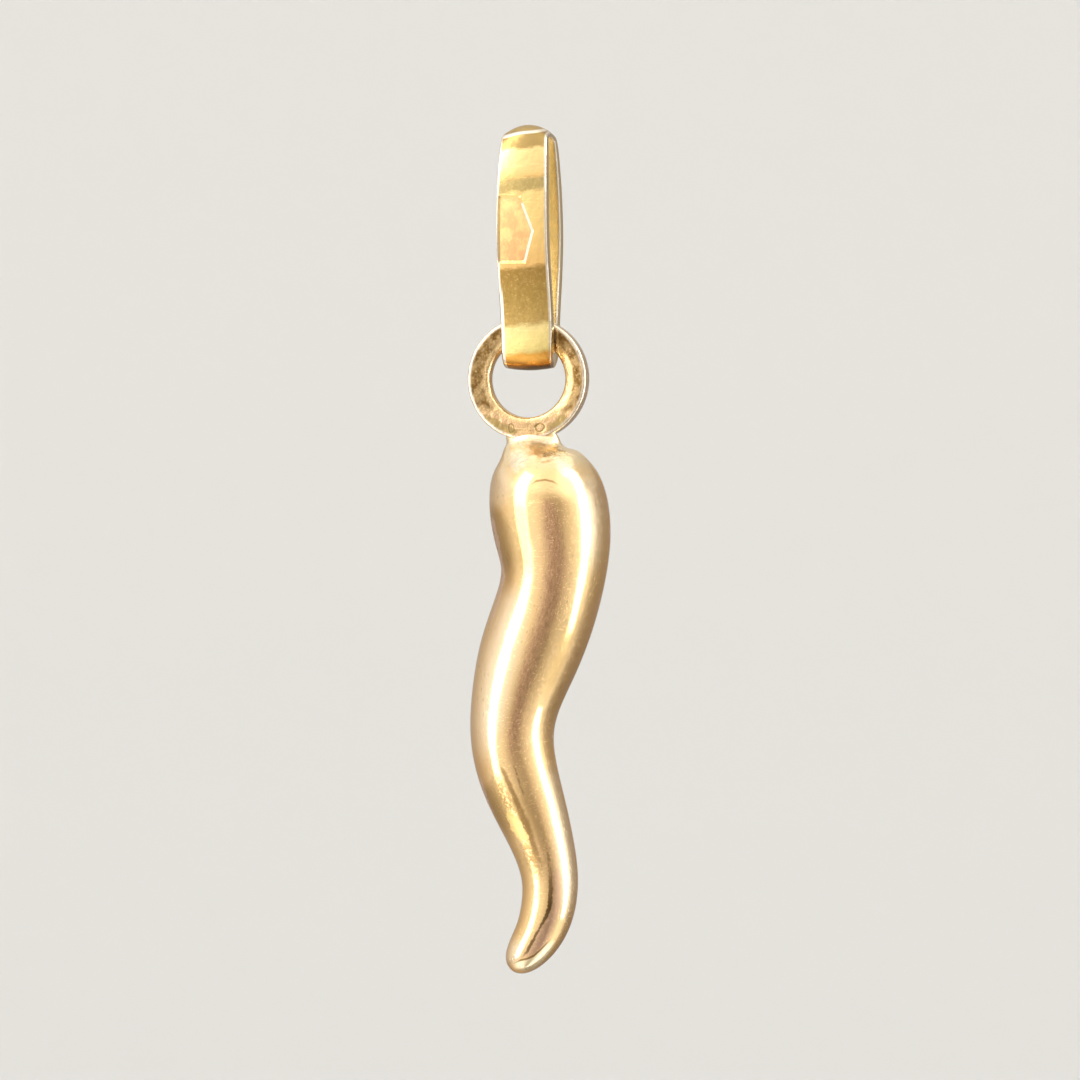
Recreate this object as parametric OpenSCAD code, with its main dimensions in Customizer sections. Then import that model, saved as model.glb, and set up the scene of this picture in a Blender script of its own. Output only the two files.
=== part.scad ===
// Cornicello (little horn) pendant of polished gold, hanging from its bail.
// The underside of the bail's top bend, where a chain lies, is the origin. +X is to the wearer's left.

/* [Bail] */
// Overall height of the bail
bail_h = 9.25; // [8:0.05:12]
// Overall depth of the bail, from front to back
bail_d = 2.95; // [2.8:0.05:4.5]
// Width of the strip where it is widest
bail_w = 1.97; // [1.7:0.01:2.2]
// Thickness of the strip
bail_t = 0.5; // [0.4:0.01:0.6]
// Thickness of the strip at its bottom bend
foot_t = 0.66; // [0.4:0.01:0.8]
// How far the foot of the front leg lies to the right of the ring's middle
leg_aside = 0.16; // [0:0.01:0.2]
// Width of the bevel along the strip's edges
edge_c = 0.06; // [0.04:0.01:0.1]
// How much lower the top bend is at its edges than at its middle
crown_h = 0.34; // [0.1:0.01:0.38]

/* [Stamp recess] */
// Height of the bare recess in the bail's front
recess_h = 2.55; // [2:0.05:3]
// Width of the recess
recess_w = 1.34; // [0.8:0.02:1.4]
// Depth of the recess
recess_t = 0.07; // [0.04:0.01:0.1]
// Distance of the recess's middle below the origin
recess_down = 3.51; // [3:0.02:4.2]
// Distance of the recess's middle to the left of the ring's
recess_left = 0.07; // [0:0.01:0.1]

/* [Ring] */
// Outer radius of the ring
ring_r = 2.3; // [2:0.01:2.6]
// Radius of the ring's hole
hole_r = 1.44; // [1.3:0.01:1.6]
// Thickness of the ring
ring_t = 0.62; // [0.5:0.01:0.7]
// Radius of the ring's rounded outer edges
rim_round = 0.12; // [0.05:0.01:0.2]
// Radius of the rounded edges of its hole
lip_round = 0.2; // [0.1:0.01:0.24]
// Gap between the ring's hole and the strip that passes through it
hang_gap = 0.04; // [0.03:0.01:0.1]
// Gap between each flat side of the ring and the bail's foot
side_gap = 0.08; // [0.05:0.01:0.15]

/* [Horn] */
// Drop of the horn from its solder waist to its tip
horn_l = 19.9; // [16:0.05:26]
// Width of the horn where it is widest
horn_w = 4.46; // [3.5:0.01:5.5]
// Depth of the horn there, from front to back
horn_d = 4.1; // [3.2:0.01:5]
// How far the horn's curve sways to each side
horn_sway = 1.55; // [1:0.01:2.2]
// How far the horn's middle lies to the right of the ring's
horn_right = 0.14; // [0:0.01:0.3]
// Width of the solder waist under the ring
waist_w = 2.06; // [1.6:0.01:2.4]
// Depth of the solder waist
waist_d = 1.3; // [0.9:0.01:1.6]
// Height of the seam ridge along both sides of the horn
seam_h = 0.04; // [0.02:0.01:0.08]
// Thickness of the hollow horn's wall
wall_t = 0.25; // [0.2:0.01:0.4]

/* [Hidden] */

BAIL_GOLD = [0.95, 0.77, 0.38];
HORN_GOLD = [0.93, 0.74, 0.42];

// Rings of points between two rows of the tables
BAIL_STEPS = 3;
HORN_STEPS = 3;
HORN_SIDES = 28;
CAVITY_SIDES = 16;
RING_FN = 96;

// Columns of the bail's table: how far down, as a share of its height; how far out, as shares of its half
// depth and of its foot's; how far its front leg stands aside, as a share of its foot's; how wide, as a share
// of its half width; how much of the foot's extra thickness and of the largest crown it has. From the middle
// of the top bend to the middle of the foot.
DOWN = 0;
OUT = DOWN + 1;
FOOT = OUT + 1;
ASIDE = FOOT + 1;
WIDE = ASIDE + 1;
THICK = WIDE + 1;
CROWN = THICK + 1;
bail_shares = [
    [0.000, 0.00, 0.00, 0.20, 0.86, 0.00, 1.00],
    [0.008, 0.34, 0.00, 0.30, 0.87, 0.00, 1.00],
    [0.024, 0.60, 0.00, 0.35, 0.89, 0.00, 0.80],
    [0.050, 0.68, 0.00, 0.35, 0.91, 0.00, 0.45],
    [0.140, 0.78, 0.00, 0.40, 0.95, 0.00, 0.25],
    [0.270, 0.91, 0.00, 0.50, 0.98, 0.00, 0.15],
    [0.400, 0.99, 0.00, 0.60, 1.00, 0.00, 0.12],
    [0.530, 0.98, 0.00, 0.75, 1.00, 0.00, 0.12],
    [0.660, 0.80, 0.06, 0.90, 1.00, 0.00, 0.12],
    [0.790, 0.35, 0.50, 1.00, 1.00, 0.00, 0.12],
    [0.890, 0.06, 0.88, 1.00, 0.99, 0.10, 0.15],
    [0.960, 0.00, 1.00, 0.90, 0.98, 0.60, 0.25],
    [0.997, 0.00, 0.50, 0.60, 0.96, 1.00, 0.30],
    [1.000, 0.00, 0.00, 0.40, 0.96, 1.00, 0.30],
];

// Columns of the horn's table: how far down, as a share of its drop; how far across, as a share of its sway;
// how much its section follows the curve's slope; how wide and how deep, as shares of the horn and of the
// solder waist; whether it is hollow there. From inside the ring to the tip.
ACROSS = DOWN + 1;
LEAN = ACROSS + 1;
BODY_W = LEAN + 1;
BODY_D = BODY_W + 1;
WAIST_W = BODY_D + 1;
WAIST_D = WAIST_W + 1;
HOLLOW = WAIST_D + 1;
horn_shares = [
    [-0.026, 0.02, 0.0, 0.00, 0.00, 0.84, 0.38, 0],
    [-0.016, 0.02, 0.0, 0.00, 0.00, 1.00, 0.44, 0],
    [-0.008, 0.03, 0.0, 0.00, 0.00, 1.02, 0.52, 0],
    [0.000, 0.04, 0.0, 0.00, 0.00, 1.00, 0.68, 0],
    [0.007, 0.05, 0.0, 0.00, 0.00, 1.04, 0.95, 0],
    [0.014, 0.07, 0.0, 0.12, 0.10, 0.88, 1.00, 0],
    [0.023, 0.13, 0.2, 0.42, 0.36, 0.42, 0.58, 0],
    [0.036, 0.21, 0.4, 0.74, 0.68, 0.00, 0.10, 0],
    [0.060, 0.27, 0.6, 0.89, 0.89, 0.00, 0.00, 1],
    [0.095, 0.35, 0.8, 0.98, 0.98, 0.00, 0.00, 1],
    [0.140, 0.45, 1.0, 1.02, 1.01, 0.00, 0.00, 1],
    [0.200, 0.56, 1.0, 0.97, 0.98, 0.00, 0.00, 1],
    [0.260, 0.56, 1.0, 0.85, 0.94, 0.00, 0.00, 1],
    [0.330, 0.30, 1.0, 0.87, 0.89, 0.00, 0.00, 1],
    [0.410, -0.12, 1.0, 0.87, 0.84, 0.00, 0.00, 1],
    [0.490, -0.44, 1.0, 0.74, 0.78, 0.00, 0.00, 1],
    [0.560, -0.55, 1.0, 0.70, 0.72, 0.00, 0.00, 1],
    [0.630, -0.37, 1.0, 0.68, 0.66, 0.00, 0.00, 1],
    [0.700, -0.01, 1.0, 0.61, 0.59, 0.00, 0.00, 1],
    [0.770, 0.33, 1.0, 0.51, 0.53, 0.00, 0.00, 1],
    [0.830, 0.49, 1.0, 0.47, 0.48, 0.00, 0.00, 1],
    [0.885, 0.41, 1.0, 0.46, 0.45, 0.00, 0.00, 1],
    [0.925, 0.22, 1.0, 0.42, 0.42, 0.00, 0.00, 1],
    [0.952, -0.02, 1.0, 0.38, 0.38, 0.00, 0.00, 0],
    [0.973, -0.25, 1.0, 0.32, 0.33, 0.00, 0.00, 0],
    [0.987, -0.43, 1.0, 0.23, 0.24, 0.00, 0.00, 0],
    [0.994, -0.53, 1.0, 0.12, 0.12, 0.00, 0.00, 0],
    [0.996, -0.56, 1.0, 0.02, 0.02, 0.00, 0.00, 0],
];

// How far the recess's corners lie from its middle, as shares of its half width and half height:
// a tall cartouche with a straight left side and a point to the right
recess_shares = [[-1, 1], [0.2, 1], [1, -0.05], [0.5, -1], [-1, -1]];
// How far the horn's waist lies below the ring
WAIST_DROP = 0.01;

// Derived places
foot_in = bail_t - bail_h + foot_t;
foot_row = bail_shares[len(bail_shares) - 1];
foot_reach = bail_w/2*foot_row[WIDE] + leg_aside*foot_row[ASIDE];
hole_z = foot_in - sqrt(pow(hole_r - hang_gap, 2) - pow(foot_reach, 2));
waist_z = hole_z - ring_r - WAIST_DROP;
hollow_rows = [for (i = [0:len(horn_shares) - 1]) if (horn_shares[i][HOLLOW] > 0) i];
leg_out = (bail_d - bail_t)/2;
foot_leg_out = ring_t/2 + side_gap + foot_t/2;

// Weights of a uniform cubic B-spline at a share t of one span
function weights(t) = [
    pow(1 - t, 3),
    3*pow(t, 3) - 6*pow(t, 2) + 4,
    -3*pow(t, 3) + 3*pow(t, 2) + 3*t + 1,
    pow(t, 3)
]/6;

// Rows smoothed by that spline, with so many steps in each span
function smoothed(rows, steps) = [
    for (i = [0:len(rows) - 4], j = [0:steps - 1])
        weights(j/steps)*[rows[i], rows[i + 1], rows[i + 2], rows[i + 3]]
];

function column(rows, c) = [for (row = rows) row[c]];

// One closed surface through rings of points. A looped one joins its last ring to its first
module skin(rings, looped = false) {
    count = len(rings);
    sides = len(rings[0]);
    spans = looped ? count : count - 1;
    points = [for (ring = rings, p = ring) p];
    walls = [
        for (i = [0:spans - 1], k = [0:sides - 1])
            let (here = i*sides, next = (i + 1) % count*sides, m = (k + 1) % sides)
                each [[here + k, here + m, next + m], [here + k, next + m, next + k]]
    ];
    ends = looped ? [] : [
        [for (k = [sides - 1:-1:0]) k],
        [for (k = [0:sides - 1]) (count - 1)*sides + k]
    ];
    polyhedron(points = points, faces = concat(walls, ends), convexity = 10);
}

// The strip's section across its width: [sideways, outwards] from its middle surface
function strip_section(half_w, thick, crown) = let (
    low = -thick/2,
    high = function(x) thick/2 - crown*pow(x/half_w, 2),
    bevel = min(edge_c, 0.4*(thick - crown)),
    flat = half_w - bevel,
    crowned = 0.55*half_w
) [
    [half_w, low + bevel],
    [flat, low],
    [-flat, low],
    [-half_w, low + bevel],
    [-half_w, high(half_w) - bevel],
    [-flat, high(flat)],
    [-crowned, high(crowned)],
    [0, high(0)],
    [crowned, high(crowned)],
    [flat, high(flat)],
    [half_w, high(half_w) - bevel]
];

// The smoothed rows round the whole loop, down the front leg and up the back one
function bail_path() = let (
    last = len(bail_shares) - 1,
    back = [
        for (i = [last - 1:-1:1])
            [for (c = [DOWN:CROWN]) (c == OUT || c == FOOT ? -1 : c == ASIDE ? 0 : 1)*bail_shares[i][c]]
    ],
    loop = concat(bail_shares, back)
) smoothed(concat([loop[len(loop) - 1]], loop, [loop[0], loop[1]]), BAIL_STEPS);

// Places of the strip's middle surface, [y, z], stretched to its full depth and height
function bail_places(path) = let (
    first = min(column(path, DOWN)),
    reach = max(column(path, DOWN)) - first,
    out = max(column(path, OUT)),
    drop = bail_h - bail_t/2 - foot_t/2
) [
    for (p = path)
        [-leg_out*p[OUT]/out - foot_leg_out*p[FOOT], bail_t/2 - drop*(p[DOWN] - first)/reach]
];

// The direction out of the loop at each of its places
function bail_outwards(places) = let (m = len(places)) [
    for (i = [0:m - 1])
        let (along = places[(i + 1) % m] - places[(i + m - 1) % m])
            [along[1], -along[0]]/norm(along)
];

function strip_t(p) = bail_t + (foot_t - bail_t)*p[THICK];

// The bail's loop, one ring of points for each smoothed row
function bail_rings() = let (
    path = bail_path(),
    places = bail_places(path),
    outwards = bail_outwards(places),
    wide = max(column(path, WIDE))
) [
    for (i = [0:len(path) - 1])
        let (p = path[i], section = strip_section(bail_w/2*p[WIDE]/wide, strip_t(p), crown_h*p[CROWN]))
            [
                for (q = section)
                    [
                        leg_aside*p[ASIDE] + q[0],
                        places[i][0] + outwards[i][0]*q[1],
                        places[i][1] + outwards[i][1]*q[1]
                    ]
            ]
];

// The front leg's outer line, so far below its surface, over the height of the recess
function front_line(below) = let (
    path = bail_path(),
    places = bail_places(path),
    outwards = bail_outwards(places)
) [
    for (i = [0:len(path)/2 - 1])
        let (q = places[i] + outwards[i]*(strip_t(path[i])/2 - below))
            if (abs(q[1] + recess_down) < recess_h) q
];

// A bare cartouche with its floor along the strip
module recess() {
    line = front_line(recess_t);
    front = [-bail_d, 0];
    intersection() {
        translate([-bail_w/2, 0, 0])
            rotate([90, 0, 90])
                linear_extrude(bail_w)
                    polygon(concat(line, [line[len(line) - 1] + front, line[0] + front]));
        translate([-recess_left, 0, -recess_down])
            rotate([90, 0, 0])
                linear_extrude(bail_d)
                    polygon([for (c = recess_shares) [c[0]*recess_w/2, c[1]*recess_h/2]]);
    }
}

module bail() {
    color(BAIL_GOLD)
        difference() {
            skin(bail_rings(), looped = true);
            recess();
        }
}

// Half of the ring's section, from its hole to its rim, with rounded edges
module ring_section() {
    translate([hole_r + lip_round, -ring_t/2])
        square([ring_r - rim_round - hole_r - lip_round, ring_t]);
    translate([hole_r, -ring_t/2 + lip_round])
        square([ring_r - hole_r - rim_round, ring_t - 2*lip_round]);
    translate([hole_r + lip_round, -ring_t/2 + rim_round])
        square([ring_r - hole_r - lip_round, ring_t - 2*rim_round]);
    for (side = [-1, 1]) {
        translate([hole_r + lip_round, side*(ring_t/2 - lip_round)])
            circle(r = lip_round, $fn = 32);
        translate([ring_r - rim_round, side*(ring_t/2 - rim_round)])
            circle(r = rim_round, $fn = 32);
    }
}

module ring() {
    translate([0, 0, hole_z])
        rotate([90, 0, 0])
            rotate_extrude($fn = RING_FN)
                ring_section();
}

// Rings of points round the horn, an inset below its surface, between two rows of its table
function horn_rings(inset, sides, first, last) = let (
    ends = concat([horn_shares[0]], horn_shares, [horn_shares[len(horn_shares) - 1]]),
    path = smoothed(ends, HORN_STEPS),
    places = [for (p = path) [horn_right + horn_sway*p[ACROSS], waist_z - horn_l*p[DOWN]]],
    m = len(path)
) [
    for (i = [max(first*HORN_STEPS, 1):min(last*HORN_STEPS, m - 2)])
        let (
            p = path[i],
            slope = places[i + 1] - places[i - 1],
            along = [slope[0]*p[LEAN], slope[1]],
            right = [-along[1], along[0]]/norm(along),
            half_w = (horn_w*p[BODY_W] + waist_w*p[WAIST_W])/2 - inset,
            half_d = (horn_d*p[BODY_D] + waist_d*p[WAIST_D])/2 - inset,
            ridge = inset > 0 ? 0 : seam_h*min(1, p[BODY_W])
        )
        [for (k = [0:sides - 1])
            let (
                a = 360*k/sides,
                reach = half_w*cos(a) + (abs(cos(a)) > 0.999 ? ridge*cos(a) : 0)
            )
            [places[i][0] + right[0]*reach, half_d*sin(a), places[i][1] + right[1]*reach]]
];

module horn() {
    color(HORN_GOLD)
        difference() {
            union() {
                ring();
                skin(horn_rings(0, HORN_SIDES, 0, len(horn_shares)));
            }
            skin(horn_rings(wall_t, CAVITY_SIDES, hollow_rows[0], hollow_rows[len(hollow_rows) - 1]));
        }
}

bail();
horn();
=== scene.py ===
"""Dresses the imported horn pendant: its strip bail, jump ring and hollow horn, and the stage around them."""

import math
from collections import namedtuple
from functools import reduce

import bmesh
import bpy
from bpy.props import FloatProperty, FloatVectorProperty, PointerProperty
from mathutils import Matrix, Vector


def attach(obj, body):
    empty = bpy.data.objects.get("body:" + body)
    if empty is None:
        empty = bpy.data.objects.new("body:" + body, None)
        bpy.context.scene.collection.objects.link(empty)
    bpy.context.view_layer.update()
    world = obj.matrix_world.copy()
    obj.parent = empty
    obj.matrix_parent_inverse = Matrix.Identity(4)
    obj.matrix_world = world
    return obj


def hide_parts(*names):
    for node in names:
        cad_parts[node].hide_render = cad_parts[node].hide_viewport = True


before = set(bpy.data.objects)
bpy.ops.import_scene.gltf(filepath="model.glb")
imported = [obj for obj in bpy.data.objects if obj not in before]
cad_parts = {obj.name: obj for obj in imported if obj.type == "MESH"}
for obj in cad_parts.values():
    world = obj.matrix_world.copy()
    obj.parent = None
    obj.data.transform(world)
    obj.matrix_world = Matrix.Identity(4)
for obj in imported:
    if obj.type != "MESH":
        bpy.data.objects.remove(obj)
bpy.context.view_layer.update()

bl_info = {
    "name": "Horn pendant",
    "version": (1, 0, 0),
    "blender": (4, 5, 0),
    "location": "3D View > Sidebar > Pendant",
    "description": "Builds a polished gold horn pendant on its ring and bail",
    "category": "Object",
}

MM = 0.001

# From the middle of the bail's top bend to the middle of its foot: how far down, as a share of its height;
# how far out, as shares of its half depth and of its foot's; how far the front leg stands aside; how wide, as
# a share of its half width; how much of the foot's extra thickness and of the largest crown it has there.
BailRow = namedtuple("BailRow", "down out foot aside wide thick crown")
BAIL_ROWS = [BailRow(*row) for row in (
    (0.000, 0.00, 0.00, 0.20, 0.86, 0.00, 1.00),
    (0.008, 0.34, 0.00, 0.30, 0.87, 0.00, 1.00),
    (0.024, 0.60, 0.00, 0.35, 0.89, 0.00, 0.80),
    (0.050, 0.68, 0.00, 0.35, 0.91, 0.00, 0.45),
    (0.140, 0.78, 0.00, 0.40, 0.95, 0.00, 0.25),
    (0.270, 0.91, 0.00, 0.50, 0.98, 0.00, 0.15),
    (0.400, 0.99, 0.00, 0.60, 1.00, 0.00, 0.12),
    (0.530, 0.98, 0.00, 0.75, 1.00, 0.00, 0.12),
    (0.660, 0.80, 0.06, 0.90, 1.00, 0.00, 0.12),
    (0.790, 0.35, 0.50, 1.00, 1.00, 0.00, 0.12),
    (0.890, 0.06, 0.88, 1.00, 0.99, 0.10, 0.15),
    (0.960, 0.00, 1.00, 0.90, 0.98, 0.60, 0.25),
    (0.997, 0.00, 0.50, 0.60, 0.96, 1.00, 0.30),
    (1.000, 0.00, 0.00, 0.40, 0.96, 1.00, 0.30),
)]

# From inside the ring to the horn's tip: how far down, as a share of its drop; how far across, as a share of
# its sway; how much its section follows the curve's slope; how wide and how deep, as shares of the horn and,
# in the first rows, of the solder waist.
HornRow = namedtuple("HornRow", "down across lean body_w body_d waist_w waist_d", defaults=(0, 0))
HORN_ROWS = [HornRow(*row) for row in (
    (-0.026, 0.02, 0.0, 0.00, 0.00, 0.84, 0.38),
    (-0.016, -0.03, 0.0, 0.00, 0.00, 0.88, 0.42),
    (-0.008, 0.00, 0.0, 0.00, 0.00, 1.00, 0.50),
    (0.000, 0.03, 0.0, 0.00, 0.00, 1.00, 0.66),
    (0.007, 0.05, 0.0, 0.00, 0.00, 1.02, 0.86),
    (0.014, 0.07, 0.0, 0.12, 0.06, 0.88, 0.96),
    (0.023, 0.13, 0.2, 0.42, 0.27, 0.42, 0.62),
    (0.036, 0.21, 0.4, 0.74, 0.57, 0.00, 0.14),
    (0.060, 0.27, 0.6, 0.89, 0.85),
    (0.095, 0.35, 0.8, 0.98, 0.98),
    (0.140, 0.45, 1.0, 1.02, 1.01),
    (0.200, 0.56, 1.0, 0.97, 0.98),
    (0.260, 0.56, 1.0, 0.85, 0.94),
    (0.330, 0.30, 1.0, 0.87, 0.89),
    (0.410, -0.12, 1.0, 0.87, 0.84),
    (0.490, -0.44, 1.0, 0.74, 0.78),
    (0.560, -0.55, 1.0, 0.70, 0.72),
    (0.630, -0.37, 1.0, 0.68, 0.66),
    (0.700, -0.01, 1.0, 0.61, 0.59),
    (0.770, 0.33, 1.0, 0.51, 0.53),
    (0.830, 0.49, 1.0, 0.47, 0.48),
    (0.885, 0.41, 1.0, 0.46, 0.45),
    (0.925, 0.22, 1.0, 0.42, 0.42),
    (0.952, -0.02, 1.0, 0.38, 0.38),
    (0.973, -0.25, 1.0, 0.32, 0.33),
    (0.987, -0.43, 1.0, 0.23, 0.24),
    (0.994, -0.53, 1.0, 0.12, 0.12),
    (0.996, -0.56, 1.0, 0.02, 0.02),
)]
# Steps between two rows of either table
STEPS = 3
# Turns round the horn from a seam towards its front or back, in degrees: close beside the seam, wide elsewhere
QUARTER_TURNS = [0, 2.5, 6, 13, 24, 37, 50, 63, 76]

# Corners of the stamp recess, as shares of its half width and half height
RECESS_CORNERS = [(-1.14, 1), (0.2, 1), (1, -0.05), (0.5, -1), (-1.14, -1)]

RING_TURNS = 64
# The ring's worn bevel: the share of its face that it takes, its turn from the right in degrees, and how fast
# it runs out round the ring
WORN_SHARE, WORN_TURN, WORN_EASE = 0.6, 10, 1.5

# Colour ramps hold levels as shares of these
BRIGHTEST_WALL = 2.0
BRIGHTEST_LIFT = 1.3

# Marks are painted by how far they lie across, square to a line MARK_TURN degrees round from the front
MARK_TURN = 15

# Bands down the bail's front, painted reflections of the room's lighter and darker parts, darkest at the bottom
# of the foot: height in millimetres and colour there
REFLECTED_BANDS = [
    (0.6, (0.54, 0.39, 0.16)), (0.24, (0.58, 0.41, 0.16)), (0.12, (0.46, 0.31, 0.11)),
    (-0.38, (0.46, 0.31, 0.11)), (-0.52, (0.98, 0.7, 0.3)), (-1.15, (0.98, 0.68, 0.29)),
    (-1.52, (0.88, 0.56, 0.21)), (-1.68, (0.46, 0.34, 0.13)), (-2.06, (0.46, 0.34, 0.13)),
    (-2.18, (0.96, 0.68, 0.27)), (-3.5, (0.96, 0.68, 0.26)), (-4.85, (0.96, 0.6, 0.22)),
    (-5.02, (0.4, 0.24, 0.065)), (-6, (0.47, 0.3, 0.085)), (-6.98, (0.56, 0.37, 0.12)),
    (-7.14, (1, 0.8, 0.34)), (-8.05, (1, 0.8, 0.3)), (-8.2, (0.84, 0.43, 0.085)),
    (-8.48, (0.62, 0.3, 0.06)), (-8.6, (0.42, 0.2, 0.05)), (-8.72, (0.18, 0.09, 0.03)),
]
REFLECTED_BANDS_LOW, REFLECTED_BANDS_HIGH = -9.0, 1.0
# The dull ones under the fold, which lie in the darker painted reflection bands and get darker speckle and more
# roughness: where each fades in from below and out again above
DULL_BANDS = [(-2.2, -2.08, -1.75, -1.6), (-7.1, -6.95, -5.05, -4.85)]

# Long marks, in millimetres: a place along, how far beside it, half the width there, and the strength.
# They run down the horn, but for the fold and the fine line, which run across.
Mark = namedtuple("Mark", "along beside half_w level")
# A painted highlight along the bail's fold, which the relief also raises into a ridge
FOLD = [
    (-1.11, -0.1, 0.04, 0), (-0.92, -0.01, 0.06, 1), (-0.39, 0.11, 0.06, 1), (0.17, 0.16, 0.06, 1),
    (0.62, 0.24, 0.06, 1), (0.84, 0.29, 0.04, 0),
]
# A thin dark line across the shoulder, a painted reflection
FINE_LINE = [
    (0.09, -13.04, 0.03, 0), (0.28, -12.91, 0.04, 0.9), (0.62, -12.86, 0.04, 1),
    (0.92, -12.93, 0.04, 0.9), (1.14, -13.06, 0.03, 0),
]
# The dark band down the horn's front: a painted reflection of the dark room round the camera, mottled with
# grain
DARK_REFLECTION = [
    (-13.49, 0.66, 0.11, 0), (-13.79, 0.77, 0.22, 0.9), (-14.73, 0.92, 0.3, 1), (-15.93, 1.03, 0.32, 1),
    (-17.28, 0.84, 0.32, 0.95), (-18.48, 0.47, 0.3, 0.9), (-19.19, 0.21, 0.28, 0.85),
    (-20.88, -0.28, 0.22, 0.9), (-22.19, -0.54, 0.21, 0.9), (-22.98, -0.54, 0.19, 0.5),
    (-23.65, -0.47, 0.15, 0),
]
# Its lower part: a painted dark reflection with a crisp speckled line
LOW_DARK_REFLECTION = [
    (-27.2, 0.8, 0.05, 0), (-27.8, 0.83, 0.07, 0.65), (-28.2, 0.83, 0.08, 0.8), (-28.8, 0.79, 0.08, 1),
    (-29.16, 0.66, 0.06, 0.9), (-29.7, 0.36, 0.05, 0.85), (-30.2, 0.1, 0.06, 0.9),
    (-30.5, -0.06, 0.06, 0.8), (-30.75, -0.26, 0.04, 0),
]
LOW_BLUSH = [
    (-27.2, 1.02, 0.1, 0), (-27.6, 1.05, 0.16, 0.8), (-28.6, 1.05, 0.15, 0.9), (-29.16, 0.88, 0.18, 1),
    (-29.7, 0.62, 0.24, 1), (-30.2, 0.38, 0.26, 1), (-30.5, 0.2, 0.24, 0.9), (-30.75, 0, 0.12, 0),
]
DARK_EDGE = [
    (-23.43, -1.11, 0.06, 0), (-23.73, -0.92, 0.08, 0.8), (-24.74, -0.5, 0.1, 1),
    (-25.75, -0.08, 0.15, 1), (-26.55, 0.22, 0.1, 0.9), (-27.55, 0.51, 0.09, 0),
]
WORN = [
    (-25.05, -0.84, 0.04, 0), (-25.3, -0.7, 0.12, 0.9), (-25.55, -0.52, 0.26, 1),
    (-25.9, -0.4, 0.28, 1), (-26.25, -0.18, 0.24, 0.9), (-26.6, 0, 0.11, 0.55),
    (-27.2, 0.28, 0.09, 0.4), (-27.6, 0.4, 0.08, 0),
]
# Dull patches at its left side
DULL_LIMBS = [
    [(-13.6, -1.41, 0.11, 0), (-14.16, -1.28, 0.34, 1), (-14.91, -1.07, 0.4, 1),
     (-15.85, -0.9, 0.38, 1), (-16.6, -0.84, 0.28, 0.6), (-17.24, -0.88, 0.15, 0)],
    [(-24.1, -1.55, 0.1, 0), (-24.5, -1.4, 0.26, 0.8), (-25.1, -1.12, 0.32, 1),
     (-25.7, -0.88, 0.28, 0.9), (-26.5, -0.55, 0.16, 0)],
]
# Pearly traces of its left seam
SEAMS = [
    [(-14.09, -1.39, 0.04, 0), (-14.43, -1.31, 0.06, 1), (-15.4, -1.11, 0.06, 1),
     (-16.45, -0.92, 0.07, 1), (-17.35, -1.12, 0.06, 0.8), (-17.95, -1.33, 0.06, 0.8),
     (-18.4, -1.48, 0.04, 0)],
    [(-23.91, -1.86, 0.04, 0), (-24.21, -1.76, 0.06, 1), (-24.74, -1.61, 0.06, 1),
     (-25.23, -1.43, 0.06, 1), (-25.6, -1.26, 0.04, 0)],
]
# Soft painted shade that dims the left and right highlights
HIGHLIGHT_SHADES = [
    [(-13.6, -0.3, 0.15, 0), (-14, -0.3, 0.22, 0.8), (-15.93, -0.11, 0.22, 0.8),
     (-16.6, -0.02, 0.15, 0)],
    [(-17.4, 1.76, 0.1, 0), (-18.2, 1.6, 0.22, 0.8), (-19.6, 1.15, 0.24, 0.9), (-20.4, 0.84, 0.22, 0.8),
     (-21.2, 0.54, 0.12, 0)],
]
# Painted shade beside the worn patch
SHADE_BY_PATCH = [
    (-24.2, -0.45, 0.2, 0), (-24.9, -0.1, 0.34, 0.7), (-25.9, 0.26, 0.32, 0.7), (-26.9, 0.5, 0.2, 0),
]
# Paler gold along its limbs and at the tip: painted reflections of the bright room beside the highlights
PALE_REFLECTIONS = [
    [(-12.1, -1.1, 0.15, 0), (-12.5, -1.15, 0.35, 0.9), (-13.2, -1.15, 0.45, 1),
     (-13.7, -1.2, 0.35, 0.6), (-14.1, -1.25, 0.15, 0)],
    [(-16.6, -0.6, 0.2, 0), (-17.4, -0.62, 0.55, 0.8), (-19.6, -1.2, 0.7, 1), (-21.9, -1.65, 0.6, 1),
     (-22.9, -1.7, 0.45, 0.6), (-23.6, -1.6, 0.2, 0)],
    [(-12.3, 2.1, 0.2, 0), (-13, 2.3, 0.45, 0.8), (-14, 2.45, 0.45, 0.9), (-15.6, 2.45, 0.35, 0.6),
     (-16.6, 2.4, 0.2, 0)],
    [(-23.2, 0.9, 0.2, 0), (-24, 1, 0.35, 0.8), (-25.6, 1.35, 0.4, 1), (-27.8, 1.62, 0.4, 1),
     (-28.8, 1.5, 0.3, 0.6), (-29.5, 1.35, 0.2, 0)],
    [(-29.8, -0.55, 0.15, 0), (-30.3, -0.62, 0.32, 0.9), (-30.8, -0.72, 0.28, 1),
     (-31.15, -0.6, 0.12, 0)],
]
# Where the left highlight breaks up above and below the worn patch: painted shade over it, on a rougher surface
HAZE_AND_SHADE = [
    [(-23.8, -1.2, 0.1, 0), (-24.2, -1.1, 0.26, 0.9), (-24.8, -0.84, 0.32, 1),
     (-25.25, -0.64, 0.26, 0.9), (-25.6, -0.48, 0.1, 0)],
    [(-26.2, -0.2, 0.1, 0), (-26.6, 0, 0.24, 0.9), (-27.1, 0.22, 0.26, 1), (-27.6, 0.38, 0.2, 0.6),
     (-28, 0.42, 0.1, 0)],
]
# Dotted scratches
DOTS = [
    [(-23.4, -0.58, 0.03, 0), (-23.6, -0.52, 0.04, 1), (-24.2, -0.32, 0.05, 1), (-24.6, -0.18, 0.04, 1),
     (-24.8, -0.12, 0.03, 0)],
    [(-26.5, 0.68, 0.03, 0), (-26.7, 0.7, 0.04, 1), (-27, 0.75, 0.05, 1), (-27.5, 0.8, 0.06, 1),
     (-27.9, 0.82, 0.06, 0)],
]
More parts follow.
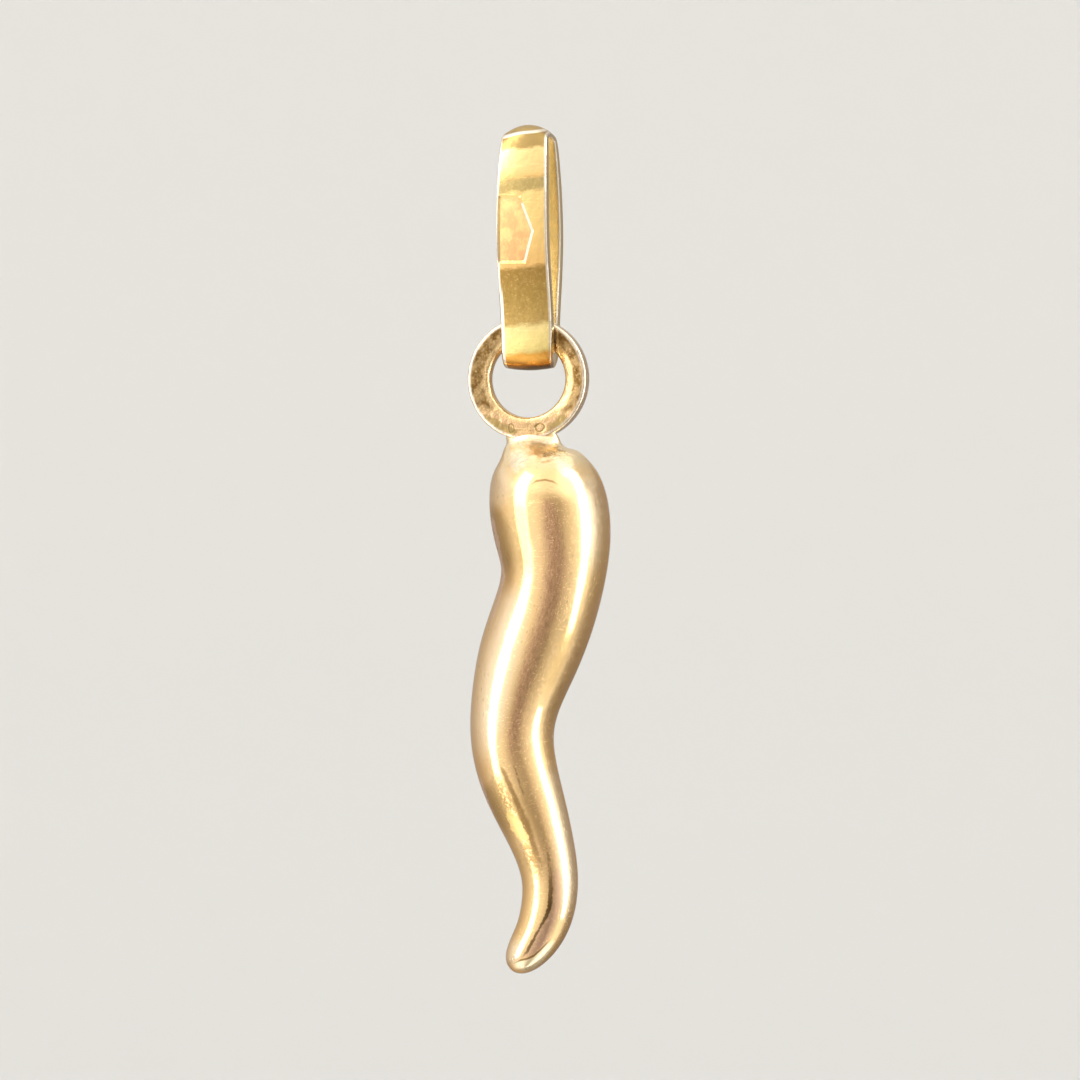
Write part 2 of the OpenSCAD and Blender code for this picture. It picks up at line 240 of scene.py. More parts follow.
# These two lie under the tip, and run across; the second is a painted highlight, the floor's reflection
TIP_EDGE = [
    (-0.6, -30.98, 0.02, 0), (-0.29, -30.82, 0.04, 1), (-0.04, -30.76, 0.04, 1),
    (0.21, -30.64, 0.04, 1), (0.45, -30.42, 0.04, 1), (0.64, -30.22, 0.04, 0.8), (0.9, -29.95, 0.03, 0),
]
TIP_HIGHLIGHT = [
    (-0.6, -31.06, 0.1, 0), (-0.4, -31.02, 0.16, 1), (-0.1, -31, 0.21, 1), (0.2, -30.9, 0.25, 1),
    (0.45, -30.7, 0.26, 1), (0.65, -30.48, 0.24, 0.9), (0.85, -30.28, 0.15, 0.7),
    (1.05, -30.02, 0.05, 0),
]

# Patches, in millimetres: across and down to the middle, half width, half height, and the turn in degrees
Patch = namedtuple("Patch", "x z half_w half_h turn")
# Heat stains at the solder; the first, at its middle, lies where the tarnished ring is reflected and is partly
# a painted reflection
SOLDER_STAINS = [
    (0.24, -11.82, 0.28, 0.16, 0), (0.35, -12.05, 0.1, 0.14, 0), (-1.1, -12.1, 0.12, 0.24, -20),
    (-0.62, -11.69, 0.12, 0.12, 0), (0.92, -11.61, 0.15, 0.12, 0),
]
SOLDER_GLINTS = [
    (-0.45, -11.52, 0.3, 0.14, 0), (0.72, -11.46, 0.2, 0.12, 0), (0.2, -11.48, 0.32, 0.13, 0),
    (-0.38, -12.15, 0.26, 0.34, 0), (1.35, -12.4, 0.22, 0.4, 40),
]
OLIVE_STAINS = [
    (-1.18, -10.75, 0.52, 0.17, -30), (-0.75, -10.98, 0.34, 0.16, -15), (1.1, -10.72, 0.42, 0.22, 30),
]
BUBBLES = [(0.43, -10.9, 0.19, 0.17, 0), (-0.65, -10.92, 0.12, 0.2, 0), (0.32, -11.27, 0.13, 0.08, 0)]

# Colours of stains and marks, and of painted shade, highlights and reflections, linear
DARK_SPECKLE = (0.30, 0.20, 0.07)
PIT_BROWN = (0.20, 0.13, 0.05)
BEVEL_SHADE = (0.30, 0.19, 0.10)
OLIVE = (0.36, 0.26, 0.09)
RING_PIT = (0.16, 0.09, 0.03)
BUBBLE_RIM = (0.30, 0.21, 0.07)
GLINT = (1.0, 0.90, 0.68)
DARK_REFLECTION_GRAIN = (0.46, 0.26, 0.12)
HIGHLIGHT_SHADE_GOLD = (0.62, 0.40, 0.15)
PATCH_SHADE_GOLD = (0.66, 0.44, 0.19)
HAZE_SHADE_BROWN = (0.42, 0.27, 0.10)
LOW_PINK = (0.95, 0.62, 0.42)
TIP_HIGHLIGHT_CREAM = (1.0, 0.89, 0.60)
LOW_BROWN = (0.20, 0.12, 0.04)
EDGE_BROWN = (0.34, 0.20, 0.07)
DOT_BROWN = (0.20, 0.12, 0.05)
# How much redder, greener and bluer the clouds on the recess's floor are
RECESS_CLOUDS = (1.05, 1.3, 1.25)

# The room that the gold reflects, its walls low and high up: degrees round from the camera, level, and tone
LOW_WALLS = [
    (-180, 0.5, 0.90), (-145, 0.50, 0.88), (-120, 0.62, 0.88), (-100, 0.82, 0.91), (-85, 1.02, 0.95),
    (-70, 1.2, 0.98), (-50, 1.4, 0.99), (-30, 1.15, 0.96), (-16, 0.82, 0.93), (-7, 0.60, 0.90),
    (4, 0.51, 0.90), (13, 0.50, 0.90), (24, 0.80, 0.93), (40, 1.1, 0.98), (56, 1.55, 1.01),
    (82, 1.35, 1.01), (96, 0.60, 0.94), (115, 0.40, 0.87), (150, 0.34, 0.86), (180, 0.5, 0.90),
]
HIGH_WALLS = [
    (-180, 0.7, 0.94), (-120, 0.85, 0.95), (-90, 1.05, 0.99), (-70, 1.5, 1.0), (-30, 1.4, 0.99),
    (-12, 1.15, 0.98), (10, 1.2, 0.98), (30, 1.7, 1.0), (58, 1.8, 1.01), (72, 1.0, 1.0), (90, 0.65, 0.97),
    (140, 0.55, 0.93), (180, 0.7, 0.94),
]
ZENITH = (0.60, 0.59, 0.55)
# Height, from -1 straight down to 1 straight up, and how much brighter the room is there
LIFTS = [
    (-1, 1.0), (-0.85, 1.1), (-0.65, 0.9), (-0.45, 0.76), (-0.2, 0.91), (0, 1.0), (0.35, 1.08), (0.6, 1.1),
    (0.85, 1.15), (1, 1.05),
]
BACKDROP_LEVEL = 0.85

# What the camera and the lights aim at
TARGET = Vector((0.4165, 0.1116, -15.1)) * MM
LENS_MM = 222.2
SENSOR_MM = 36
# Outline of the floor that sweeps up behind: radius and height, in metres
FLOOR_OUTLINE = [(0, 0), (0.55, 0), (0.7, 0.02), (0.82, 0.14), (0.84, 0.3), (0.84, 0.62)]
FLOOR_TURNS = 48
# The soft boxes' height over the horizon in degrees, and their distance and height in metres
BOX_LIFT, BOX_DISTANCE, BOX_HEIGHT = 14, 0.45, 0.8


def size(name, description, millimetres, high=60.0):
    """A length that the sidebar shows, kept in metres."""
    return FloatProperty(
        name=name, description=description, default=millimetres * MM, min=0.0, max=high * MM, unit="LENGTH",
        subtype="DISTANCE", precision=5,
    )


def watts(name, description, value, high=20.0):
    """A light's power that the sidebar shows."""
    return FloatProperty(name=name, description=description, default=value, min=0.0, max=high, unit="POWER")


def tint(name, description, value):
    """A colour that the sidebar shows, linear."""
    return FloatVectorProperty(name=name, description=description, default=value, size=3, subtype="COLOR",
                               min=0.0, max=1.0)


class BailLook(bpy.types.PropertyGroup):
    """Sizes and colours of the strip bail"""

    height: size("Height", "Overall height of the bail", 9.25)
    depth: size("Depth", "Overall depth from front to back", 2.95)
    width: size("Width", "Width of the strip where it is widest", 1.97)
    thickness: size("Thickness", "Thickness of the strip", 0.5)
    foot_thickness: size("Foot thickness", "Thickness of the strip at its bottom bend", 0.66)
    aside: size("Aside", "How far the foot of the front leg lies to the right of the ring's middle", 0.16)
    foot_gap: size("Foot gap", "Gap between each flat side of the ring and the foot", 0.08)
    crown: size("Crown", "How much lower the top bend is at its edges", 0.34)
    arris: size("Arris", "Width of the rounding along the strip's edges", 0.1)
    recess_height: size("Recess height", "Height of the stamp recess", 2.55)
    recess_width: size("Recess width", "Width of the stamp recess", 1.34)
    recess_depth: size("Recess depth", "Depth of the stamp recess", 0.06)
    recess_wall: size("Recess wall", "Width of the recess's sloped wall", 0.11)
    recess_down: size("Recess down", "How far the recess's middle lies below the origin", 3.51)
    recess_left: size("Recess left", "How far the recess's middle lies to the left", 0.07)
    gold: tint("Gold", "Colour of the bare gold", (0.97, 0.74, 0.32))
    inner: tint("Inner gold", "Colour of the inner face, which the other leg lights", (0.99, 0.88, 0.62))
    # The arrises' colour is a painted highlight
    arris_highlight: tint("Arris gold", "Colour of the worn arrises", (1.0, 0.93, 0.78))
    floor: tint("Recess floor", "Colour of the recess's floor", (0.88, 0.48, 0.21))


class RingLook(bpy.types.PropertyGroup):
    """Sizes and colours of the jump ring"""

    radius: size("Radius", "Outer radius of the ring", 2.3)
    hole: size("Hole", "Radius of the ring's hole", 1.44)
    thickness: size("Thickness", "Thickness of the ring", 0.62)
    drop: size("Drop", "How far the hole's middle lies below the origin", 9.0599)
    rim: size("Rim", "Width of the rounding of its outer edges", 0.16)
    lip: size("Lip", "Width of the rounding of the hole's edges", 0.28)
    worn: size("Worn bevel", "Depth of the bevel that wear has cut into the hole's front edge", 0.18)
    gold: tint("Gold", "Colour of the bare gold", (0.95, 0.68, 0.34))
    tarnish: tint("Tarnish", "Colour of the mottled stains on its faces", (0.185, 0.10, 0.028))
    pale: tint("Pale gold", "Colour of the paler lower part of its face", (0.73, 0.49, 0.24))
    # The outer edge's colour is a painted highlight
    rim_highlight: tint("Rim gold", "Colour of the worn outer edge", (1.0, 0.91, 0.76))


class HornLook(bpy.types.PropertyGroup):
    """Sizes and colours of the horn and its solder waist"""

    drop: size("Drop", "From the solder waist to the tip", 19.9)
    start: size("Start", "How far the solder waist lies below the origin", 11.3699)
    width: size("Width", "Width of the horn where it is widest", 4.46)
    depth: size("Depth", "Depth of the horn there", 4.1)
    sway: size("Sway", "How far the curve sways to each side", 1.55)
    right: size("Right", "How far the horn's middle lies to the right of the ring's", 0.14)
    waist_width: size("Waist width", "Width of the solder waist", 2.06)
    waist_depth: size("Waist depth", "Depth of the solder waist", 1.3)
    seam: size("Seam", "Height of the seam ridge along both sides", 0.045)
    gold: tint("Gold", "Colour of the bare gold", (0.94, 0.65, 0.31))
    blush: tint("Blush", "Pinker gold of the faint clouds", (0.90, 0.56, 0.33))
    # Painted reflection colour of the dark band down its front
    dark_reflection: tint("Smoke", "Colour of the mottled brown band down its front", (0.86, 0.53, 0.30))
    dull: tint("Dull gold", "Colour of the dull patch on its left side", (0.50, 0.33, 0.13))
    seam_gold: tint("Seam gold", "Colour of the pearly seam traces", (1.0, 0.74, 0.62))
    # Painted reflection colour, laid along the limbs
    pale: tint("Pale gold", "Paler gold along its limbs", (1.0, 0.84, 0.60))
    worn: tint("Worn", "Colour of the matte worn patches", (0.94, 0.68, 0.28))
    solder: tint("Solder", "Colour of the solder", (1.0, 0.85, 0.56))
    stain: tint("Heat stain", "Colour of the stain at the solder", (0.95, 0.58, 0.24))


class StageLook(bpy.types.PropertyGroup):
    """Floor, light and camera"""

    floor_drop: size("Floor drop", "How far the floor lies below the origin", 150, high=1000)
    floor: tint("Floor", "Colour of the floor", (0.80, 0.79, 0.77))
    camera_distance: size("Camera distance", "From the camera to the pendant", 250, high=2000)
    camera_turn: FloatProperty(
        name="Camera turn", description="How far round from the front the camera stands",
        default=math.radians(15), subtype="ANGLE", unit="ROTATION")
    left_power: watts("Left box power", "Power of the soft box on the left, in watts", 1.07)
    right_power: watts("Right box power", "Power of the soft box on the right, in watts", 1.87)
    top_power: watts("Top light power", "Power of the light above, in watts", 1.4, high=50)


# ---- Node trees


class Wire:
    """A socket of a node tree. Python's operators on it add Math nodes, and node() adds any other."""

    def __init__(self, tree, socket=None):
        self.tree = tree
        self.socket = socket

    def node(self, kind, settings=None, inputs=None, output=0):
        """Adds a node of that kind: first its settings, then the values or links of its sockets."""
        made = self.tree.nodes.new(kind)
        for name, value in (settings or {}).items():
            if name == "stops":
                set_stops(made.color_ramp, value)
            else:
                setattr(made, name, value)
        for key, value in (inputs or {}).items():
            if isinstance(value, Wire):
                self.tree.links.new(value.socket, made.inputs[key])
            else:
                made.inputs[key].default_value = value
        return Wire(self.tree, made.outputs[output] if made.outputs else None)

    def maths(self, operation, *values):
        return self.node("ShaderNodeMath", {"operation": operation}, dict(enumerate(values)))

    def __add__(self, other):
        return self.maths("ADD", self, other)

    def __sub__(self, other):
        return self.maths("SUBTRACT", self, other)

    def __rsub__(self, other):
        return self.maths("SUBTRACT", other, self)

    def __mul__(self, other):
        return self.maths("MULTIPLY", self, other)

    def __truediv__(self, other):
        return self.maths("DIVIDE", self, other)

    def __abs__(self):
        return self.maths("ABSOLUTE", self)

    def root(self):
        return self.maths("SQRT", self)

    __radd__ = __add__
    __rmul__ = __mul__

    def most(self, other):
        """The larger of the two."""
        return self.maths("MAXIMUM", self, other)

    def between(self, low, high):
        """0 below low and 1 above high, eased; the other way round where low is the larger."""
        return self.node("ShaderNodeMapRange", {"interpolation_type": "SMOOTHSTEP"},
                         {"Value": self, "From Min": low, "From Max": high})

    def mixed(self, low, high):
        """The colour low where this is 0, and high where it is 1."""
        return self.node("ShaderNodeMix", {"data_type": "RGBA", "clamp_factor": True},
                         {0: self, 6: as_colour(low), 7: as_colour(high)}, output=2)

    def part(self, index):
        """One of the three numbers of a vector."""
        return self.node("ShaderNodeSeparateXYZ", None, {0: self}, output=index)

    def placed(self, turn=(0, 0, 0), scale=(1, 1, 1)):
        """A vector scaled and turned by a Mapping node. The turn is in degrees."""
        return self.node("ShaderNodeMapping", None, {
            "Vector": self, "Rotation": [math.radians(a) for a in turn], "Scale": scale})

    def noise(self, scale, detail=3.0, roughness=0.55):
        return self.node("ShaderNodeTexNoise", None,
                         {"Vector": self, "Scale": scale, "Detail": detail, "Roughness": roughness})

    def cells(self, scale):
        """Distance to the nearest of scattered points."""
        return self.node("ShaderNodeTexVoronoi", None, {"Vector": self, "Scale": scale})


def as_colour(value):
    return value if isinstance(value, Wire) else (*value[:3], 1.0)


def shaded(colour, level):
    """A colour with each of its parts times a level."""
    return [c * level for c in colour]


def layered(colour, layers):
    """A colour with others laid over it one by one, each where its mask is 1."""
    for mask, over in layers:
        colour = mask.mixed(colour, over)
    return colour


def set_stops(colour_ramp, stops):
    """Gives a colour ramp its stops: a place from 0 to 1 and a colour each."""
    elements = colour_ramp.elements
    while len(elements) > 1:
        elements.remove(elements[-1])
    for i, (place, colour) in enumerate(stops):
        element = elements[0] if i == 0 else elements.new(place)
        element.position = place
        element.color = (*colour, 1.0)


def new_material(name):
    """A material whose node tree is still empty."""
    material = bpy.data.materials.new(name)
    material.use_nodes = True
    material.node_tree.nodes.clear()
    return material


def finish_metal(material, colour, roughness, height, bump=0.02 * MM):
    """Joins a metal's colour, roughness and fine relief to its output."""
    wire = Wire(material.node_tree)
    normal = wire.node("ShaderNodeBump", None, {"Strength": 1.0, "Distance": bump, "Height": height})
    shader = wire.node("ShaderNodeBsdfPrincipled", None, {
        "Base Color": colour, "Metallic": 1.0, "Roughness": roughness, "Normal": normal})
    wire.node("ShaderNodeOutputMaterial", None, {"Surface": shader})
    return material


def millimetres(wire, vector):
    """A place or direction in metres as the same in millimetres."""
    return wire.node("ShaderNodeVectorMath", {"operation": "SCALE"}, {0: vector, "Scale": 1 / MM})


def object_place(material):
    """Place on the piece, in millimetres."""
    wire = Wire(material.node_tree)
    return millimetres(wire, wire.node("ShaderNodeTexCoord", output=3))


def named_attribute(material, name):
    """A mesh attribute's vector."""
    return Wire(material.node_tree).node("ShaderNodeAttribute", {"attribute_name": name}, output=1)


def hairlines(place, turn, length, width):
    """Fine scratches that run one way: 1 in a scratch and 0 between them. Sizes in millimetres."""
    stretched = place.placed(turn=turn, scale=(1 / length, 1 / width, 1 / width))
    return stretched.noise(1.0, detail=1.0).between(0.66, 0.72)


def across(place):
    """How far across a place lies, as the tables of marks count it."""
    turn = math.radians(MARK_TURN)
    return place.part(0) * math.cos(turn) + place.part(1) * math.sin(turn)


def ramp(wire, low, high, stops):
    """A colour by a number that runs from low to high. The stops are the number and the colour."""
    places = sorted(((number - low) / (high - low), colour) for number, colour in stops)
    return wire.node("ShaderNodeValToRGB", {"stops": places}, {0: (wire - low) / (high - low)})


def mark(along, beside, rows, soft=0.5):
    """1 along a mark and 0 beside it. Soft is how much of its half width the edge takes."""
    rows = [Mark(*row) for row in rows]
    low, high = min(row.along for row in rows), max(row.along for row in rows)
    shift = min(row.beside for row in rows)
    reach = max(row.beside for row in rows) - shift
    table = ramp(along, low, high, [
        (row.along, ((row.beside - shift) / reach, row.half_w, row.level)) for row in rows])
    off = abs(beside - (table.part(0) * reach + shift)) / table.part(1)
    return off.between(1 + soft, 1 - soft) * table.part(2)


def marks(along, beside, tables, soft=0.5):
    """1 along any of several marks and 0 beside them."""
    return reduce(Wire.most, [mark(along, beside, rows, soft) for rows in tables])


def patch_mask(place, patches, ragged, edge, swell=1.0):
    """1 inside any of the patches, made larger by swell, and 0 outside. A number makes the edge ragged."""
    sideways, up = across(place), place.part(2)
    masks = []
    for patch in (Patch(*row) for row in patches):
        turn = math.radians(patch.turn)
        x, z = sideways - patch.x, up - patch.z
        u = (x * math.cos(turn) + z * math.sin(turn)) / (patch.half_w * swell)
        v = (z * math.cos(turn) - x * math.sin(turn)) / (patch.half_h * swell)
        masks.append(((u * u + v * v).root() + ragged).between(1.0 + edge, 1.0 - edge))
    return reduce(Wire.most, masks)


# ---- Meshes


def weights(t):
    """Shares of four neighbouring rows at a share t of one span of a uniform cubic spline."""
    return (1 - t) ** 3 / 6, (3 * t**3 - 6 * t**2 + 4) / 6, (-3 * t**3 + 3 * t**2 + 3 * t + 1) / 6, t**3 / 6


def smoothed(rows):
    """A table's rows eased by that spline, with STEPS steps in each span."""
    kind = type(rows[0])
    return [
        kind(*(sum(w * v for w, v in zip(weights(j / STEPS), column)) for column in zip(*rows[i:i + 4])))
        for i in range(len(rows) - 3)
        for j in range(STEPS)
    ]


def cage_swell(before, after):
    """How much further out a cage's corner lies than the round surface it is smoothed to, by the turns to its
    neighbours."""
    return 6 / (4 + math.cos(before) + math.cos(after))


def loft(bm, rings, looped=False):
    """Skins rings of places with the same count. Returns each ring's vertices."""
    loops = []
    for places in rings:
        verts = bmesh.ops.create_circle(bm, cap_ends=False, radius=1.0, segments=len(places))["verts"]
        for vert, place in zip(verts, places):
            vert.co = place
        loops.append(verts)
    pairs = list(zip(loops, loops[1:] + loops[:1])) if looped else list(zip(loops, loops[1:]))
    for pair in pairs:
        edges = {edge for loop in pair for vert in loop for edge in vert.link_edges
                 if edge.verts[0] in loop and edge.verts[1] in loop}
        bmesh.ops.bridge_loops(bm, edges=list(edges))
    if not looped:
        for loop in (loops[0], loops[-1]):
            bmesh.ops.contextual_create(bm, geom=loop)
    bmesh.ops.recalc_face_normals(bm, faces=bm.faces)
    return loops


def new_piece(name, bm, sharp=180):
    """A mesh object at the origin with that bmesh, shaded smooth but for edges sharper than so many degrees."""
    mesh = bpy.data.meshes.new(name)
    bm.to_mesh(mesh)
    bm.free()
    mesh.shade_smooth()
    if sharp < 180:
        mesh.set_sharp_from_angle(angle=math.radians(sharp))
    piece = bpy.data.objects.new(name, mesh)
    bpy.context.scene.collection.objects.link(piece)
    return piece


def subdivide(piece, levels):
    modifier = piece.modifiers.new("Smooth surface", "SUBSURF")
    modifier.levels = modifier.render_levels = levels


def mount(piece, body, node):
    """Lets a piece stand for its CAD node and move with its body."""
    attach(piece, body)
    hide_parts(node)


def bail_path():
    """The strip's eased rows round the whole loop, down the front leg and up the back one."""
    back = [row._replace(out=-row.out, foot=-row.foot, aside=0) for row in BAIL_ROWS[-2:0:-1]]
    loop = [*BAIL_ROWS, *back]
    return smoothed([loop[-1], *loop, *loop[:2]])


def bail_rings(look, ring):
    """The strip's section at each row of the path, from its outer left round by its right.
    Also, for each place of a section, [1 on an arris, 1 on the inner half, how far sideways]."""
    path = bail_path()
    first = min(row.down for row in path)
    reach = max(row.down for row in path) - first
    out = max(row.out for row in path)
    wide = max(row.wide for row in path)
    leg_out = (look.depth - look.thickness) / 2
    foot_out = ring.thickness / 2 + look.foot_gap + look.foot_thickness / 2
    drop = look.height - look.thickness / 2 - look.foot_thickness / 2
    spine = [
        Vector((look.aside * row.aside, -leg_out * row.out / out - foot_out * row.foot,
                look.thickness / 2 - drop * (row.down - first) / reach))
        for row in path
    ]
    rings = []
    for i, row in enumerate(path):
        along = spine[(i + 1) % len(path)] - spine[i - 1]
        outwards = Vector((0, along.z, -along.y)).normalized()
        section = strip_section(
            look.width / 2 * row.wide / wide,
            look.thickness + (look.foot_thickness - look.thickness) * row.thick,
            look.crown * row.crown, look.arris)
        rings.append([spine[i] + Vector((x, 0, 0)) + outwards * high for x, high, _, _ in section])
    return rings, [(edge, inner, x / look.width) for x, _, edge, inner in section]


def strip_section(half_w, thick, crown, arris):
    """[sideways, outwards, 1 on an arris, 1 on the inner half] round the strip's section."""
    low, inset = -thick / 2, half_w - arris

    def high(x):
        return thick / 2 - crown * (x / half_w) ** 2

    outer = [(x, high(x), 0, 0) for x in (-inset, -half_w / 2, 0, half_w / 2, inset)]
    right = [(half_w, high(half_w), 1, 0), (half_w, high(half_w) - arris, 0, 0), (half_w, low / 2, 0, 1),
             (half_w, low + arris, 0, 1), (half_w, low, 1, 0)]
    inner = [(x, low, 0, 1) for x in (inset, 0, -inset)]
    left = [(-x, *rest) for x, *rest in reversed(right)]
    return outer + right + inner + left


def press_recess(bm, look):
    """Cuts the recess's outline into the front of the strip and presses it in, with a sloped wall.
    Returns its floor and its right wall."""
    middle = Vector((-look.recess_left, 0, -look.recess_down))
    corners = [
        middle + Vector((x * look.recess_width / 2, 0, z * look.recess_height / 2)) for x, z in RECESS_CORNERS
    ]
    walls = []
    for start, end in zip(corners, corners[1:] + corners[:1]):
        outwards = Vector((end.z - start.z, 0, start.x - end.x)).normalized()
        walls.append((start, outwards if outwards.dot(start - middle) > 0 else -outwards))

    def front():
        return [f for f in bm.faces if f.normal.y < -0.6 and f.calc_center_median().y < 0
                and (f.calc_center_median() - middle).xz.length < look.recess_height]

    def depth_inside(co):
        return min((start - co).dot(outwards) for start, outwards in walls)

    for inset in (0, look.recess_wall):
        for start, outwards in walls:
            faces = front()
            geom = [*faces, *{edge for face in faces for edge in face.edges}]
            bmesh.ops.bisect_plane(bm, geom=geom, dist=1e-8, plane_co=start - outwards * inset,
                                   plane_no=outwards)
    faces = front()
    for vert in {vert for face in faces for vert in face.verts}:
        sunk = min(1, max(0, depth_inside(vert.co) / look.recess_wall))
        vert.co.y += look.recess_depth * sunk
    floor = [f for f in faces if depth_inside(f.calc_center_median()) > look.recess_wall]
    right = [f for f in faces if f not in floor and depth_inside(f.calc_center_median()) > 0
             and f.calc_center_median().x > middle.x + look.recess_width * 0.15
             and abs(f.calc_center_median().z - middle.z) < look.recess_height / 2 - look.recess_wall]
    return floor, right


def ring_profile(look):
    """The ring's section as (radius, sideways) of its cage, from the hole's middle round to it again."""
    half, lip, rim = look.thickness / 2, look.lip, look.rim
    face = [(look.hole, half), (look.hole + lip, half), ((look.hole + look.radius) / 2, half),
            (look.radius - rim, half), (look.radius, half), (look.radius, half - rim)]
    return [(look.hole, 0), *face, (look.radius, 0), *((r, -y) for r, y in reversed(face))]


def horn_rings(look):
    """The horn's section at each row of the eased table, from the right seam round over the back. Also the same
    places on a straightened horn."""
    path = smoothed([HORN_ROWS[0], *HORN_ROWS, HORN_ROWS[-1]])
    spine = [
        Vector((look.right + look.sway * row.across, 0, -look.start - look.drop * row.down)) for row in path
    ]
    half = [*QUARTER_TURNS, 90, *(180 - a for a in reversed(QUARTER_TURNS))]
    turns = [*half, *(180 + a for a in half[1:-1])]
    rings, unrolled = [], []
    for i in range(1, len(path) - 1):
        row = path[i]
        slope = spine[i + 1] - spine[i - 1]
        right = Vector((-slope.z, 0, slope.x * row.lean)).normalized()
        half_w = (look.width * row.body_w + look.waist_width * row.waist_w) / 2
        half_d = (look.depth * row.body_d + look.waist_depth * row.waist_d) / 2
        ring, flat = [], []
        for k, turn in enumerate(turns):
            a = math.radians(turn)
            before, after = (math.radians(turn - turns[j % len(turns)]) for j in (k - 1, k + 1))
            swell = cage_swell(before, after)
            ridge = look.seam * min(1, row.body_w) if turn % 180 == 0 else 0
            x = (half_w * swell + ridge) * math.cos(a)
            y = half_d * swell * math.sin(a)
            ring.append(spine[i] + right * x + Vector((0, y, 0)))
            flat.append(Vector((x, y, -look.drop * row.down)))
        rings.append(ring)
        unrolled.append(flat)
    return rings, unrolled


# ---- Finishes


def bail_finish(look):
    """Yellow gold with painted reflection bands across its front, the darker of them dull and mottled, a fold
    at the top with a painted highlight, and painted highlights on the arrises.
    """
    material = new_material("bail_gold")
    place = object_place(material)
    strip = named_attribute(material, "strip")
    arris, inner, sideways = (strip.part(i) for i in range(3))
    x, y, z = (place.part(i) for i in range(3))
    cloud = place.noise(1.6, detail=4.0)
    torn = place.placed(scale=(1.3, 1.3, 2.5)).noise(1.5, detail=5.0, roughness=0.65) - 0.5
    ragged = z + torn * 0.42 - x * 0.1
    front = y.between(0.0, -0.25) * (1 - inner)
    speckle = place.noise(9.0, detail=5.0, roughness=0.7)
    # Dull speckled zones: the top above the fold and the darker painted reflection bands
    dull = ragged.between(-0.1, 0.2)
    for bottom, low, high, top in DULL_BANDS:
        dull = dull.most(ragged.between(top, high) * ragged.between(bottom, low))
    dull = dull * front
    # Painted highlight along the fold, also raised in the relief
    fold = mark(across(place), z, FOLD) * front
    low_down = z.between(-5.5, -6.1) * front
    # Painted shade on the left bevel low on the front leg, and a painted highlight line beside it
    bevel = sideways.between(-0.405, -0.42) * low_down
    bevel_highlight = abs(sideways + 0.395).between(0.024, 0.012) * low_down
    lines = hairlines(place, (8, 0, 12), 1.5, 0.04).most(hairlines(place, (0, 35, -8), 1.2, 0.03))
    pits = place.cells(7.0).between(0.16, 0.06) * place.noise(2.2).between(0.5, 0.62) * front
    # Painted highlight along the arrises, weaker low on the foot
    bright = arris.between(0.1, 0.55) * (0.9 - 0.6 * z.between(-7.6, -8.2))
    colour = layered(look.gold, [
        (cloud.between(0.35, 0.7), shaded(look.gold, 0.88)),
        # Painted reflection bands of the room, lighter and darker, down the front
        (front, ramp(ragged, REFLECTED_BANDS_LOW, REFLECTED_BANDS_HIGH, REFLECTED_BANDS)),
        (dull * speckle.between(0.5, 0.72) * 0.5, DARK_SPECKLE),
        (dull * speckle.between(0.48, 0.3) * 0.3, look.gold),
        (inner * 0.9, look.inner),
        (pits * 0.5, PIT_BROWN),
        (bright.most(fold * 0.9), look.arris_highlight),
        (bevel * 0.85, BEVEL_SHADE),
        (bevel_highlight * 0.9, look.arris_highlight),
    ])
    roughness = 0.19 + 0.06 * cloud + 0.18 * dull + 0.04 * lines
    height = place.noise(2.0, detail=2.0) * 0.8 - lines * 0.05 - pits * 0.4 + speckle * dull * 0.3 + fold * 0.8
    return finish_metal(material, colour, roughness, height)


def recess_wall_finish(look):
    """The recess's right wall, with a painted highlight in the arrises' highlight colour."""
    material = new_material("recess_wall_gold")
    place = object_place(material)
    return finish_metal(material, (*look.arris_highlight, 1), 0.3, place.noise(6.0) * 0.2)


def recess_finish(look):
    """The recess's floor: matte, pinker, with soft dull clouds."""
    material = new_material("recess_gold")
    place = object_place(material)
    cloud = place.noise(2.4, detail=5.0)
    clouded = [min(1, c * more) for c, more in zip(look.floor, RECESS_CLOUDS)]
    colour = cloud.between(0.42, 0.62).mixed(look.floor, clouded)
    grain = place.noise(14.0, detail=4.0)
    return finish_metal(material, colour, 0.3 + 0.12 * cloud, grain * 0.4)


